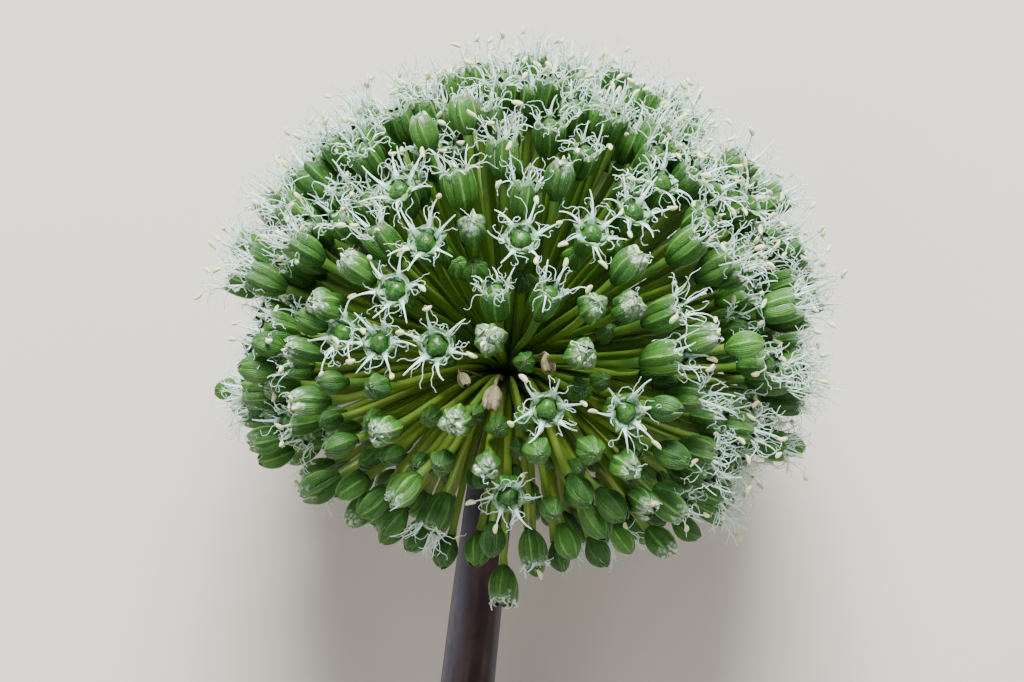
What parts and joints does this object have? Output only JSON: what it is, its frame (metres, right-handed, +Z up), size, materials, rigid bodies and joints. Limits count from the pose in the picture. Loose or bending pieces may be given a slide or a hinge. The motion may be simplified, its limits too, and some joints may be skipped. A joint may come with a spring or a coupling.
{
  "type": "allium flower head",
  "caption": "Round green and white allium flower head with a cut length of its purple stem, laid on its side as a display flower.",
  "frame": {"origin": "centre of the bounding box's base, on the surface that the flower lies on", "axes": "+Z up from the surface; +Y along the flower as it lies, from the stem's cut end towards the top of the head"},
  "size_m": [0.0774, 0.1218, 0.0729],
  "materials": {
    "umbel_green": "satin, fresh plant skin",
    "scape_skin": "matt, waxy bloom over purple brown"
  },
  "bodies": {
    "root": {"scape": "scape_skin", "umbel": "umbel_green"}
  },
  "joints": []
}
